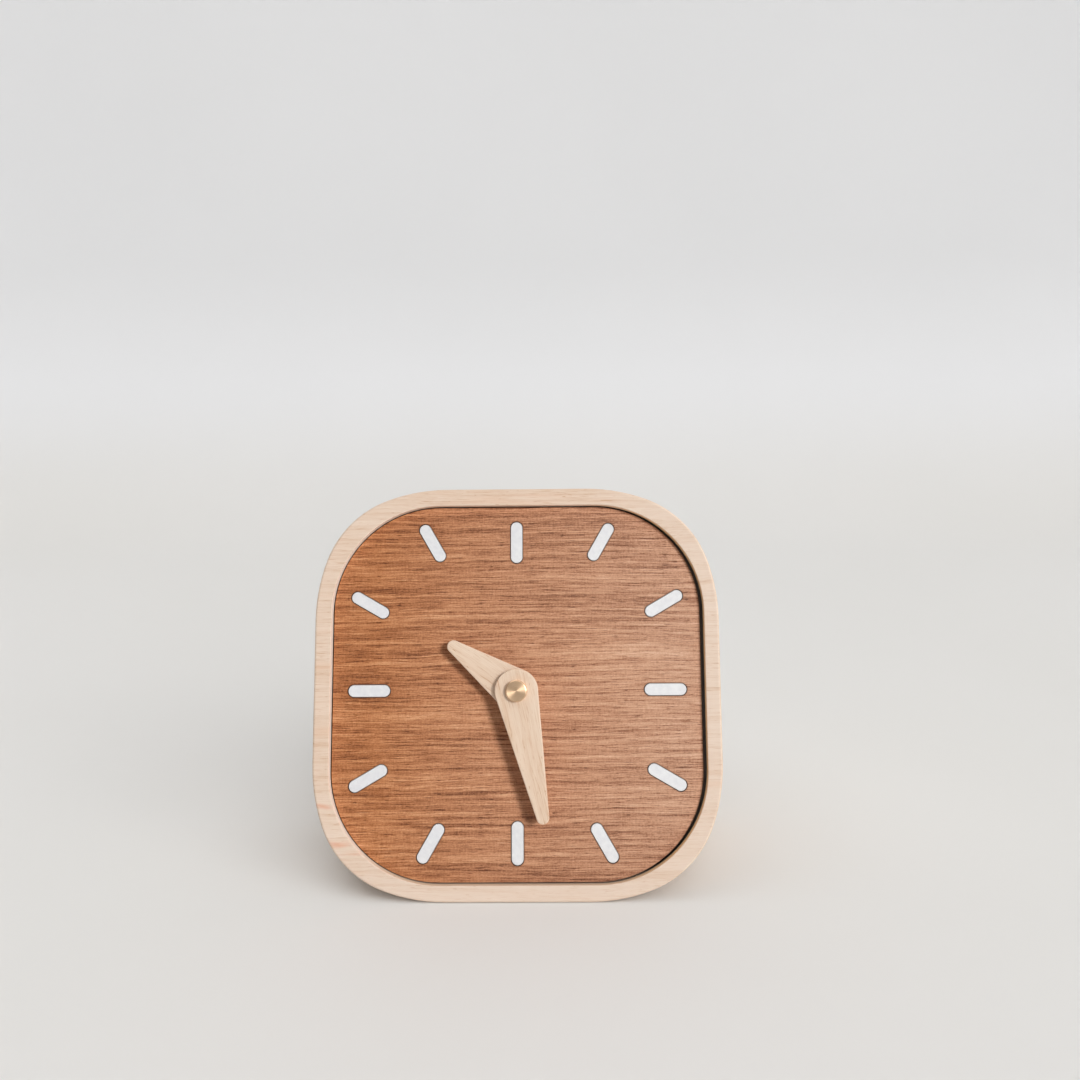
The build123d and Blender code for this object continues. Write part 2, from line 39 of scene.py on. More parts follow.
# ------------------------------------------------------------------ a small node builder
class Mat:
    def __init__(self, name):
        self.m = bpy.data.materials.new(name)
        self.m.use_nodes = True
        self.t = self.m.node_tree
        self.t.nodes.clear()
        self.out = self.t.nodes.new("ShaderNodeOutputMaterial")
        self.b = self.t.nodes.new("ShaderNodeBsdfPrincipled")
        self.t.links.new(self.b.outputs[0], self.out.inputs[0])
        tc = self.t.nodes.new("ShaderNodeTexCoord")
        self.obj = tc.outputs["Object"]
        self.normal = None

    def node(self, kind):
        return self.t.nodes.new(kind)

    def put(self, sock, v):
        if isinstance(v, bpy.types.NodeSocket):
            self.t.links.new(v, sock)
        else:
            sock.default_value = v

    def f(self, op, a, b=None, c=None, clamp=False):
        n = self.node("ShaderNodeMath")
        n.operation = op
        n.use_clamp = clamp
        self.put(n.inputs[0], a)
        if b is not None:
            self.put(n.inputs[1], b)
        if c is not None:
            self.put(n.inputs[2], c)
        return n.outputs[0]

    def v(self, op, a, b=None, scale=None):
        n = self.node("ShaderNodeVectorMath")
        n.operation = op
        self.put(n.inputs[0], a)
        if b is not None:
            self.put(n.inputs[1], b)
        if scale is not None:
            self.put(n.inputs[3], scale)
        return n.outputs[1] if op in ("DOT_PRODUCT", "LENGTH", "DISTANCE") else n.outputs[0]

    def xyz(self, x=0.0, y=0.0, z=0.0):
        n = self.node("ShaderNodeCombineXYZ")
        for s, a in zip(n.inputs, (x, y, z)):
            self.put(s, a)
        return n.outputs[0]

    def split(self, vec):
        n = self.node("ShaderNodeSeparateXYZ")
        self.put(n.inputs[0], vec)
        return n.outputs[0], n.outputs[1], n.outputs[2]

    def noise(self, vec, scale=1.0, detail=2.0, rough=0.5, dist=0.0):
        n = self.node("ShaderNodeTexNoise")
        self.put(n.inputs["Vector"], vec)
        n.inputs["Scale"].default_value = scale
        n.inputs["Detail"].default_value = detail
        n.inputs["Roughness"].default_value = rough
        n.inputs["Distortion"].default_value = dist
        return n.outputs[0]

    def voronoi(self, vec, scale=1.0, feature="F1", out=0):
        n = self.node("ShaderNodeTexVoronoi")
        n.feature = feature
        self.put(n.inputs["Vector"], vec)
        n.inputs["Scale"].default_value = scale
        return n.outputs[out]

    def ramp(self, fac, stops, interp="LINEAR"):
        n = self.node("ShaderNodeValToRGB")
        n.color_ramp.interpolation = interp
        e = n.color_ramp.elements
        while len(e) < len(stops):
            e.new(0.5)
        for el, (p, c) in zip(e, stops):
            el.position = p
            el.color = c if len(c) == 4 else (*c, 1.0)
        self.put(n.inputs[0], fac)
        return n.outputs[0]

    def span(self, x, a, b, lo=0.0, hi=1.0, smooth=True):
        n = self.node("ShaderNodeMapRange")
        n.interpolation_type = "SMOOTHSTEP" if smooth else "LINEAR"
        self.put(n.inputs["Value"], x)
        for k, q in (("From Min", a), ("From Max", b), ("To Min", lo), ("To Max", hi)):
            n.inputs[k].default_value = q
        return n.outputs[0]

    def mix(self, fac, a, b, mode="MIX"):
        n = self.node("ShaderNodeMix")
        n.data_type = "RGBA"
        n.blend_type = mode
        n.clamp_factor = True
        self.put(n.inputs[0], fac)
        self.put(n.inputs[6], a)
        self.put(n.inputs[7], b)
        return n.outputs[2]

    def bump(self, height, dist_mm, strength=1.0):
        n = self.node("ShaderNodeBump")
        n.inputs["Strength"].default_value = strength
        n.inputs["Distance"].default_value = dist_mm / 1000.0
        self.put(n.inputs["Height"], height)
        if self.normal is not None:
            self.put(n.inputs["Normal"], self.normal)
        self.normal = n.outputs[0]
        return self.normal

    def finish(self, color, rough, metallic=0.0, spec=0.5, **more):
        self.put(self.b.inputs["Base Color"], color)
        self.put(self.b.inputs["Roughness"], rough)
        self.b.inputs["Metallic"].default_value = metallic
        self.b.inputs["Specular IOR Level"].default_value = spec
        for k, val in more.items():
            self.put(self.b.inputs[k.replace("_", " ")], val)
        if self.normal is not None:
            self.put(self.b.inputs["Normal"], self.normal)
        return self.m

    def local(self):
        """The clock's own coordinates (u, v, w) in millimetres, fixed to the piece."""
        p = self.v("SUBTRACT", self.obj, tuple(AXIS))
        u = self.f("MULTIPLY", self.v("DOT_PRODUCT", p, tuple(U_DIR)), 1000.0)
        v = self.f("MULTIPLY", self.v("DOT_PRODUCT", p, tuple(V_DIR)), 1000.0)
        w = self.f("MULTIPLY", self.v("DOT_PRODUCT", p, tuple(W_DIR)), 1000.0)
        return u, v, w


def scaled(m, u, v, w, su, sv, sw, off=(0.0, 0.0, 0.0)):
    return m.xyz(m.f("MULTIPLY_ADD", u, su, off[0]), m.f("MULTIPLY_ADD", v, sv, off[1]),
                 m.f("MULTIPLY_ADD", w, sw, off[2]))


# ------------------------------------------------------------------ pale solid wood
def pale_wood(name, angle=0.0, seed=0.0, hands=False):
    """Fine straight-grained pale wood. The grain runs along u turned by angle, in radians, anticlockwise."""
    m = Mat(name)
    u0, v0, w = m.local()
    c, s = math.cos(angle), math.sin(angle)
    u = m.f("ADD", m.f("MULTIPLY", u0, c), m.f("MULTIPLY", v0, s))
    v = m.f("ADD", m.f("MULTIPLY", u0, -s), m.f("MULTIPLY", v0, c))
    wob = m.noise(scaled(m, u, v, w, 0.012, 0.03, 0.03, (seed, 0, 0)), 1.0, 2.0, 0.5)
    wob2 = m.noise(scaled(m, u, v, w, 0.05, 0.16, 0.16, (seed + 7, 3, 0)), 1.0, 2.0, 0.5)
    lift = m.f("ADD", m.f("MULTIPLY", wob, 6.0), m.f("MULTIPLY", wob2, 0.9))
    vv = m.f("ADD", v, lift)
    ww = m.f("ADD", w, m.f("MULTIPLY", lift, 0.7))
    # growth rings: wide shells round a heart far behind and below the face
    r = m.v("LENGTH", m.xyz(0.0, m.f("ADD", vv, 210.0), m.f("ADD", ww, 130.0)))
    years = m.noise(m.xyz(m.f("MULTIPLY", r, 0.11), seed, 0.0), 1.0, 2.0, 0.6)
    ring = m.f("FRACT", m.f("ADD", m.f("MULTIPLY_ADD", years, 2.4, m.f("DIVIDE", r, 4.6)), m.f("MULTIPLY", wob, 1.4)))
    ring_line = m.f("MULTIPLY", m.span(ring, 0.55, 0.93), m.span(ring, 1.0, 0.93))
    broad = m.noise(scaled(m, u, vv, ww, 0.010, 0.14, 0.14, (seed, 5, 0)), 1.0, 3.0, 0.55)
    streak = m.noise(scaled(m, u, vv, ww, 0.018, 0.85, 0.85, (seed, 9, 0)), 1.0, 3.0, 0.6)
    fine = m.noise(scaled(m, u, vv, ww, 0.075, 3.4, 3.4, (seed, 11, 0)), 1.0, 3.0, 0.65)
    fibre = m.noise(scaled(m, u, vv, ww, 0.30, 9.0, 9.0, (seed, 2, 0)), 1.0, 2.0, 0.6)
    hair = m.noise(scaled(m, u, vv, ww, 0.13, 2.6, 2.6, (seed + 3, 17, 0)), 1.0, 1.0, 0.5)
    hair_line = m.span(hair, 0.60, 0.72)
    fleck = m.noise(scaled(m, u, vv, ww, 0.42, 3.6, 3.6, (seed + 4, 1, 0)), 1.0, 0.0, 0.5)
    fleck_line = m.span(fleck, 0.76, 0.85)
    pink = m.noise(scaled(m, u, vv, ww, 0.016, 0.17, 0.17, (seed + 21, 8, 0)), 1.0, 2.0, 0.5)

    # where the grain runs out of the surface the cut shows rings and fine pores
    geo = m.node("ShaderNodeNewGeometry")
    vt = m.node("ShaderNodeVectorTransform")
    vt.vector_type = "NORMAL"
    vt.convert_from, vt.convert_to = "WORLD", "OBJECT"
    m.put(vt.inputs[0], geo.outputs["True Normal"])
    gdir = U_DIR * c + V_DIR * s
    end = m.f("ABSOLUTE", m.v("DOT_PRODUCT", vt.outputs[0], tuple(gdir)))
    end = m.span(end, 0.50, 0.97)
    flat = m.f("SUBTRACT", 1.0, m.f("MULTIPLY", end, 0.75))
    pores = m.noise(scaled(m, u, v, w, 0.4, 4.2, 4.2, (seed, 0, 0)), 1.0, 2.0, 0.6)
    late = m.f("MULTIPLY", m.span(ring, 0.30, 0.93), m.span(ring, 1.0, 0.95))

    t = m.f("MULTIPLY_ADD", m.f("MULTIPLY", m.f("SUBTRACT", broad, 0.5), flat), -0.55, 0.54)
    t = m.f("MULTIPLY_ADD", m.f("MULTIPLY", m.f("SUBTRACT", streak, 0.5), flat), -0.45 if hands else -0.60, t)
    t = m.f("MULTIPLY_ADD", m.f("MULTIPLY", m.f("SUBTRACT", fine, 0.5), flat), -0.70, t)
    t = m.f("MULTIPLY_ADD", m.f("SUBTRACT", fibre, 0.5), -0.50, t)
    t = m.f("MULTIPLY_ADD", ring_line, -0.10, t)
    t = m.f("MULTIPLY_ADD", m.f("MULTIPLY", m.f("MULTIPLY", late, end), m.span(years, 0.3, 0.7, 0.06, 0.18)), -1.0, t)
    t = m.f("MULTIPLY_ADD", m.f("MULTIPLY", m.span(pores, 0.50, 0.74), end), -0.20, t)
    t = m.f("MULTIPLY_ADD", m.f("MULTIPLY", hair_line, flat), -0.26, t)
    t = m.f("MULTIPLY_ADD", m.f("MULTIPLY", fleck_line, flat), -0.42, t)
    if hands:
        stops = [(0.0, srgb(194, 150, 114)), (0.25, srgb(218, 186, 158)), (0.5, srgb(229, 204, 181)),
                 (0.75, srgb(235, 213, 192)), (1.0, srgb(242, 224, 206))]
    else:
        stops = [(0.0, srgb(192, 146, 110)), (0.25, srgb(216, 184, 157)), (0.5, srgb(227, 203, 183)),
                 (0.75, srgb(233, 212, 194)), (1.0, srgb(241, 224, 208))]
    col = m.ramp(t, stops)
    col = m.mix(m.f("MULTIPLY", m.span(pink, 0.54, 0.74), 0.20 if hands else 0.34), col, srgb(232, 190, 160))
    if not hands:
        # two small pinkish curls of grain near the lower left corner
        for cu, cv, ru, rv, amt in ((-71.0, -40.5, 5.0, 1.6, 0.55), (-65.0, -54.0, 5.5, 2.0, 0.62),
                                    (-57.0, -57.5, 8.0, 1.2, 0.30)):
            du = m.f("DIVIDE", m.f("SUBTRACT", u, cu), ru)
            dv = m.f("DIVIDE", m.f("ADD", m.f("SUBTRACT", v, cv),
                                   m.f("MULTIPLY", m.f("SUBTRACT", wob2, 0.5), 9.0)), rv)
            dw = m.f("DIVIDE", w, 9.0)
            d = m.v("LENGTH", m.xyz(du, dv, dw))
            spot = m.f("MULTIPLY", m.span(d, 1.2, 0.1), m.span(fibre, 0.25, 0.6, 0.55, 1.0))
            col = m.mix(m.f("MULTIPLY", spot, amt), col, srgb(222, 150, 114))
        # painted shade: the narrow gap round the sheet and the ledge under it are painted near black, fading out
        # towards the bottom
        qu = m.f("SUBTRACT", m.f("ABSOLUTE", m.f("SUBTRACT", u0, 0.3)), 69.2 - 40.3)
        qv = m.f("SUBTRACT", m.f("ABSOLUTE", m.f("ADD", v0, 0.175)), 68.925 - 40.3)
        q = m.v("LENGTH", m.xyz(m.f("MAXIMUM", qu, 0.0), m.f("MAXIMUM", qv, 0.0), 0.0))
        q = m.f("SUBTRACT", m.f("ADD", q, m.f("MINIMUM", m.f("MAXIMUM", qu, qv), 0.0)), 40.3)
        inside = m.f("MULTIPLY", m.span(q, 0.6, 0.2), m.span(q, -4.0, -3.0))
        painted_gap_shade = m.f("MULTIPLY", m.f("MULTIPLY", inside, m.span(w, -3.45, -4.1)), m.span(w, -8.0, -7.0))
        painted_gap_shade = m.f("MULTIPLY", painted_gap_shade, m.span(v0, -69.0, -60.0, 0.0, 0.99))
        col = m.mix(painted_gap_shade, col, srgb(26, 17, 12))
        # painted light on the cut wall of the opening, down to the sheet: painted orange bounce-lit shade on the
        # right, a painted highlight on the left, painted olive shade at the bottom
        painted_light_wall_mask = m.f("MULTIPLY", m.f("MULTIPLY", m.span(q, 0.25, 0.05), m.span(q, -0.9, -0.6)),
                   m.f("MULTIPLY", m.span(w, -0.05, -0.5), m.span(w, -3.6, -3.4)))
        col = m.mix(m.f("MULTIPLY", painted_light_wall_mask, m.span(u0, 20.0, 62.0, 0.0, 1.0)), col, srgb(255, 206, 134))
        col = m.mix(m.f("MULTIPLY", painted_light_wall_mask, m.span(u0, -30.0, -66.0, 0.0, 0.9)), col, srgb(252, 240, 230))
        col = m.mix(m.f("MULTIPLY", painted_light_wall_mask, m.span(v0, -55.0, -68.0, 0.0, 0.6)), col, srgb(222, 196, 158))
        # the right and the bottom of the frame are a little paler
        pale = m.f("MAXIMUM", m.span(u0, 10.0, 72.0), m.span(v0, -50.0, -72.0))
        col = m.mix(m.f("MULTIPLY", pale, 0.28), col, srgb(233, 217, 203))
    if not hands:
        end = m.f("MULTIPLY", end, m.span(q, 0.3, 0.8))
    col = m.mix(m.f("MULTIPLY", end, 0.30), col, srgb(214, 176, 140))
    rough = m.f("ADD", m.span(fine, 0.3, 0.7, 0.50, 0.60), m.f("MULTIPLY", end, 0.10))
    h = m.f("ADD", m.f("MULTIPLY", fine, 0.6), m.f("MULTIPLY", fibre, 0.4))
    h = m.f("SUBTRACT", h, m.f("MULTIPLY", m.f("ADD", hair_line, fleck_line), 0.5))
    m.bump(h, 0.035, 0.55)
    return m.finish(col, rough, spec=0.28)


# ------------------------------------------------------------------ dark veneer of the dial
def capsule(m, px, py, cx, cy, ang_deg, half, r):
    """Distance from a pill-shaped outline, its long axis ang_deg clockwise from v."""
    a = math.radians(ang_deg)
    dx, dy = math.sin(a), math.cos(a)
    qx, qy = m.f("SUBTRACT", px, cx), m.f("SUBTRACT", py, cy)
    t = m.f("ADD", m.f("MULTIPLY", qx, dx), m.f("MULTIPLY", qy, dy))
    t = m.f("MINIMUM", m.f("MAXIMUM", t, -half), half)
    ex = m.f("SUBTRACT", qx, m.f("MULTIPLY", t, dx))
    ey = m.f("SUBTRACT", qy, m.f("MULTIPLY", t, dy))
    return m.f("SUBTRACT", m.v("LENGTH", m.xyz(ex, ey, 0.0)), r)


def walnut(name):
    m = Mat(name)
    u, v, w = m.local()
    wob = m.noise(scaled(m, u, v, w, 0.010, 0.022, 0.0, (4.0, 2.0, 0)), 1.0, 2.0, 0.5)
    wob2 = m.noise(scaled(m, u, v, w, 0.045, 0.09, 0.0, (1.0, 8.0, 0)), 1.0, 2.0, 0.5)
    right = m.span(u, -52.0, 62.0, 0.0, 1.0, smooth=False)
    lift = m.f("ADD", m.f("MULTIPLY", wob, 3.6), m.f("MULTIPLY", wob2, m.span(right, 0.0, 1.0, 0.8, 0.4)))
    vv = m.f("ADD", v, lift)

    broad = m.noise(scaled(m, u, vv, w, 0.008, 0.10, 0.0, (0, 31, 0)), 1.0, 2.0, 0.5)
    patch = m.noise(scaled(m, u, vv, w, 0.045, 0.12, 0.0, (11, 3, 0)), 1.0, 2.0, 0.5)
    band = m.noise(scaled(m, u, vv, w, 0.010, 0.50, 0.0, (3, 7, 0)), 1.0, 3.0, 0.6)
    line = m.noise(scaled(m, u, vv, w, 0.028, 1.5, 0.0, (5, 13, 0)), 1.0, 2.0, 0.55)
    dash = m.noise(scaled(m, u, vv, w, 0.040, 1.9, 0.0, (8, 19, 0)), 1.0, 1.0, 0.5)
    dash2 = m.noise(scaled(m, u, vv, w, 0.12, 2.9, 0.0, (15, 5, 0)), 1.0, 1.0, 0.5)
    dash3 = m.noise(scaled(m, u, vv, w, 0.26, 3.9, 0.0, (25, 9, 0)), 1.0, 0.0, 0.5)
    fine = m.noise(scaled(m, u, vv, w, 0.11, 3.4, 0.0, (2, 3, 0)), 1.0, 2.0, 0.6)
    grit = m.noise(scaled(m, u, vv, w, 1.1, 2.6, 0.0, (6, 6, 0)), 1.0, 3.0, 0.75)
    ray = m.noise(scaled(m, u, v, w, 1.7, 0.30, 0.0, (12, 2, 0)), 1.0, 2.0, 0.6)

    dashes = m.span(dash, 0.58, 0.68)
    dashes2 = m.span(dash2, 0.61, 0.71)
    dashes3 = m.span(dash3, 0.66, 0.76)
    t = m.f("MULTIPLY_ADD", m.f("SUBTRACT", broad, 0.5), -0.45, m.f("MULTIPLY_ADD", m.f("MULTIPLY", m.span(v, 15.0, 62.0), m.span(right, 0.0, 1.0, 0.7, 1.0)), -0.12, 0.54))
    t = m.f("MULTIPLY_ADD", m.f("SUBTRACT", patch, 0.5), m.span(right, 0.7, 0.0, -0.12, -0.38), t)
    t = m.f("MULTIPLY_ADD", m.f("SUBTRACT", band, 0.5), -0.78, t)
    t = m.f("MULTIPLY_ADD", m.f("SUBTRACT", line, 0.5), -0.95, t)
    t = m.f("MULTIPLY_ADD", m.f("SUBTRACT", fine, 0.5), -1.10, t)
    t = m.f("MULTIPLY_ADD", m.f("SUBTRACT", grit, 0.5), -0.95, t)
    t = m.f("MULTIPLY_ADD", m.f("SUBTRACT", ray, 0.5), -0.35, t)
    t = m.f("MULTIPLY_ADD", m.f("MULTIPLY", m.span(v, -20.0, -52.0), right), -0.12, t)
    # faint even rows, about three millimetres apart
    row = m.f("SINE", m.f("MULTIPLY", m.f("MULTIPLY_ADD", patch, 3.0, vv), 2 * math.pi / 2.85))
    t = m.f("MULTIPLY_ADD", m.f("MULTIPLY", row, m.span(broad, 0.35, 0.6, 0.5, 1.0)), -0.075, t)
    t = m.f("MULTIPLY_ADD", dashes, -0.15, t)
    t = m.f("MULTIPLY_ADD", dashes2, -0.27, t)
    t = m.f("MULTIPLY_ADD", dashes3, -0.34, t)
    # the left of the sheet is redder; the right of it is paler and greyer, a painted sheen of the window light
    left_c = m.ramp(t, [(0.0, srgb(86, 40, 16)), (0.22, srgb(138, 80, 42)), (0.5, srgb(181, 116, 72)),
                        (0.75, srgb(204, 142, 96)), (1.0, srgb(226, 170, 126))])
    right_c_with_painted_sheen = m.ramp(t, [(0.0, srgb(110, 68, 48)), (0.22, srgb(164, 114, 85)), (0.5, srgb(199, 151, 121)),
                         (0.75, srgb(214, 170, 141)), (1.0, srgb(230, 193, 167))])
    col = m.mix(right, left_c, right_c_with_painted_sheen)

    # scorched rims: round each slot and round the outside of the sheet
    au, av = m.f("ABSOLUTE", u), m.f("ABSOLUTE", v)
    px, py = m.f("MINIMUM", au, av), m.f("MAXIMUM", au, av)
    d = m.f("MINIMUM", capsule(m, px, py, 0.0, 55.0, 0.0, 5.635, 2.365),
            capsule(m, px, py, 31.7543, 55.0, 30.0, 5.635, 2.365))
    qx = m.f("SUBTRACT", m.f("ABSOLUTE", m.f("ADD", u, 0.13)), 68.35 - 39.7)
    qy = m.f("SUBTRACT", m.f("ABSOLUTE", m.f("ADD", v, 0.15)), 68.5 - 39.7)
    outer = m.v("LENGTH", m.xyz(m.f("MAXIMUM", qx, 0.0), m.f("MAXIMUM", qy, 0.0), 0.0))
    outer = m.f("ADD", outer, m.f("MINIMUM", m.f("MAXIMUM", qx, qy), 0.0))
    outer = m.f("SUBTRACT", 39.7, outer)
    ragged = m.f("MULTIPLY", m.f("SUBTRACT", grit, 0.5), 0.22)
    slot, rim = m.f("ADD", d, ragged), m.f("ADD", outer, ragged)
    brown = m.f("MAXIMUM", m.span(slot, 0.60, 0.05, 0.0, 0.30), m.span(rim, 0.35, 0.0, 0.0, 0.12))
    col = m.mix(brown, col, srgb(120, 66, 38))
    burnt = m.f("MULTIPLY", m.span(rim, 0.10, 0.0, 0.0, 0.30), m.span(v, -68.4, -66.0, 0.25, 1.0))
    burnt = m.f("MAXIMUM", m.span(slot, 0.16, 0.0, 0.0, 0.75), burnt)
    col = m.mix(burnt, col, srgb(46, 27, 20))

    # cut edges of the sheet: dark layers of thin board
    geo = m.node("ShaderNodeNewGeometry")
    vt = m.node("ShaderNodeVectorTransform")
    vt.vector_type = "NORMAL"
    vt.convert_from, vt.convert_to = "WORLD", "OBJECT"
    m.put(vt.inputs[0], geo.outputs["True Normal"])
    face = m.f("ABSOLUTE", m.v("DOT_PRODUCT", vt.outputs[0], tuple(W_DIR)))
    side = m.span(face, 0.7, 0.4)
    ply = m.noise(scaled(m, u, v, w, 0.3, 0.3, 2.4), 1.0, 2.0, 0.5)
    cut = m.ramp(ply, [(0.3, srgb(46, 28, 20)), (0.7, srgb(70, 44, 30))])
    col = m.mix(side, col, cut)

    rough = m.span(line, 0.3, 0.7, 0.40, 0.54)
    rough = m.f("ADD", rough, m.f("MULTIPLY", m.f("ADD", dashes, dashes2), 0.16))
    h = m.f("ADD", m.f("MULTIPLY", fine, 0.45), m.f("MULTIPLY", grit, 0.35))
    h = m.f("SUBTRACT", h, m.f("ADD", m.f("MULTIPLY", dashes, 0.45), m.f("MULTIPLY", dashes2, 0.7)))
    m.bump(h, 0.06, 0.6)
    return m.finish(col, rough, spec=0.34)


# ------------------------------------------------------------------ white inlays
def white_inlay(name):
    m = Mat(name)
    u, v, w = m.local()
    a = m.noise(scaled(m, u, v, w, 0.5, 0.5, 0.5), 1.0, 3.0, 0.6)
    b = m.noise(scaled(m, u, v, w, 3.5, 3.5, 3.5, (2, 0, 0)), 1.0, 3.0, 0.7)
    a = m.f("MULTIPLY_ADD", u, 0.0016, a)
    col = m.ramp(a, [(0.25, srgb(223, 224, 228)), (0.75, srgb(237, 238, 239))])
    col = m.mix(m.span(b, 0.60, 0.78, 0.0, 0.25), col, srgb(208, 208, 211))
    # a darker rim round the edge of each piece
    au, av = m.f("ABSOLUTE", u), m.f("ABSOLUTE", v)
    px, py = m.f("MINIMUM", au, av), m.f("MAXIMUM", au, av)
    d = m.f("MINIMUM", capsule(m, px, py, 0.0, 55.0, 0.0, 5.56, 2.215),
            capsule(m, px, py, 31.7543, 55.0, 30.0, 5.56, 2.215))
    edge = m.f("MULTIPLY", d, -1.0)
    col = m.mix(m.span(edge, 0.34, 0.0, 0.0, 0.5), col, srgb(176, 160, 148))
    m.bump(b, 0.02, 0.4)
    return m.finish(col, m.span(a, 0.3, 0.7, 0.30, 0.40), spec=0.45)


# ------------------------------------------------------------------ turned brass
def brass(name, centre=(0.0, 0.0), turned=True, dark=0.0):
    m = Mat(name)
    u, v, w = m.local()
    du, dv = m.f("SUBTRACT", u, centre[0]), m.f("SUBTRACT", v, centre[1])
    r = m.v("LENGTH", m.xyz(du, dv, 0.0))
    a = m.noise(scaled(m, u, v, w, 0.35, 0.35, 0.35), 1.0, 3.0, 0.6)
    rings = m.noise(m.xyz(m.f("MULTIPLY", r, 9.0), 0.0, m.f("MULTIPLY", w, 9.0)), 1.0, 3.0, 0.7)
    rings2 = m.noise(m.xyz(m.f("MULTIPLY", r, 2.6), 4.0, m.f("MULTIPLY", w, 2.6)), 1.0, 2.0, 0.5)
    col = m.ramp(a, [(0.25, srgb(219, 184, 148)), (0.75, srgb(229, 197, 164))])
    col = m.mix(m.span(rings, 0.52, 0.75, 0.0, 0.3), col, srgb(196, 150, 104))
    col = m.mix(m.span(rings2, 0.5, 0.7, 0.0, 0.25), col, srgb(244, 224, 198))
    rough = m.span(rings, 0.3, 0.7, 0.32, 0.42)
    m.bump(rings, 0.010, 0.25)
    if not turned:
        return m.finish(col, rough, metallic=1.0)
    # turning marks run round the axis
    out = m.v("SUBTRACT", m.obj, tuple(AXIS))
    along = m.v("SCALE", tuple(W_DIR), scale=m.v("DOT_PRODUCT", out, tuple(W_DIR)))
    tang = m.v("SUBTRACT", out, along)
    vt = m.node("ShaderNodeVectorTransform")
    vt.vector_type = "VECTOR"
    vt.convert_from, vt.convert_to = "OBJECT", "WORLD"
    m.put(vt.inputs[0], m.v("NORMALIZE", tang))
    m.b.inputs["Anisotropic"].default_value = 0.70
    m.put(m.b.inputs["Tangent"], vt.outputs[0])
    return m.finish(col, rough, metallic=1.0)


# ------------------------------------------------------------------ plastics, steel and the rest
def plastic(name, lo, hi, rough_lo, rough_hi, grain=6.0, depth=0.02, spec=0.5):
    m = Mat(name)
    u, v, w = m.local()
    a = m.noise(scaled(m, u, v, w, 0.12, 0.12, 0.12), 1.0, 3.0, 0.6)
    b = m.noise(scaled(m, u, v, w, grain, grain, grain), 1.0, 2.0, 0.6)
    c = m.noise(scaled(m, u, v, w, 1.1, 1.1, 1.1, (4, 4, 4)), 1.0, 3.0, 0.65)
    col = m.ramp(a, [(0.3, lo), (0.7, hi)])
    col = m.mix(m.span(c, 0.62, 0.8, 0.0, 0.25), col, hi)
    m.bump(b, depth, 0.6)
    return m.finish(col, m.span(c, 0.3, 0.7, rough_lo, rough_hi), spec=spec)


def steel(name, lo=(168, 168, 170), hi=(198, 198, 200), su=0.25, sv=6.0, sw=6.0):
    m = Mat(name)
    u, v, w = m.local()
    a = m.noise(scaled(m, u, v, w, su, sv, sw), 1.0, 3.0, 0.65)
    b = m.noise(scaled(m, u, v, w, 0.4, 0.4, 0.4, (3, 3, 3)), 1.0, 3.0, 0.6)
    col = m.ramp(a, [(0.3, srgb(*lo)), (0.7, srgb(*hi))])
    col = m.mix(m.span(b, 0.5, 0.75, 0.0, 0.3), col, srgb(140, 138, 136))
    m.bump(a, 0.01, 0.35)
    return m.finish(col, m.span(b, 0.3, 0.7, 0.24, 0.38), metallic=1.0)


def rubber(name):
    m = Mat(name)
    u, v, w = m.local()
    a = m.noise(scaled(m, u, v, w, 2.0, 2.0, 2.0), 1.0, 4.0, 0.7)
    col = m.ramp(a, [(0.3, srgb(26, 26, 27)), (0.75, srgb(48, 47, 46))])
    m.bump(a, 0.04, 0.6)
    return m.finish(col, m.span(a, 0.3, 0.7, 0.72, 0.88), spec=0.3)


def magnet(name):
    m = Mat(name)
    u, v, w = m.local()
    a = m.noise(scaled(m, u, v, w, 3.0, 3.0, 3.0), 1.0, 4.0, 0.7)
    col = m.ramp(a, [(0.3, srgb(58, 58, 62)), (0.75, srgb(92, 92, 96))])
    m.bump(a, 0.02, 0.6)
    return m.finish(col, m.span(a, 0.3, 0.7, 0.40, 0.58), metallic=1.0)


def winding(name):
    m = Mat(name)
    u, v, w = m.local()
    jit = m.noise(scaled(m, u, v, w, 0.5, 0.1, 0.5), 1.0, 2.0, 0.5)
    turn = m.f("SINE", m.f("MULTIPLY", m.f("ADD", v, m.f("MULTIPLY", jit, 0.25)), 2 * math.pi / 0.22))
    col = m.mix(m.span(turn, -1.0, 1.0), srgb(92, 36, 16), srgb(190, 98, 52))
    col = m.mix(m.span(jit, 0.4, 0.7, 0.0, 0.4), col, srgb(150, 66, 30))
    m.bump(turn, 0.05, 0.8)
    return m.finish(col, m.span(jit, 0.3, 0.7, 0.26, 0.36), metallic=0.85)


def board(name):
    m = Mat(name)
    u, v, w = m.local()
    a = m.noise(scaled(m, u, v, w, 0.4, 0.4, 0.4), 1.0, 3.0, 0.6)
    col = m.ramp(a, [(0.3, srgb(20, 84, 50)), (0.7, srgb(34, 104, 62))])
    run = m.f("ABSOLUTE", m.f("SUBTRACT", m.f("FRACT", m.f("MULTIPLY", m.f("ADD", u, v), 0.55)), 0.5))
    col = m.mix(m.span(run, 0.20, 0.16, 0.0, 0.45), col, srgb(60, 138, 84))
    pads = m.voronoi(scaled(m, u, v, w, 0.42, 0.42, 0.0), 1.0)
    ring = m.span(pads, 0.20, 0.16)
    col = m.mix(ring, col, srgb(206, 204, 198))
    m.bump(run, 0.02, 0.4)
    return m.finish(col, m.span(a, 0.3, 0.7, 0.28, 0.42), spec=0.5)


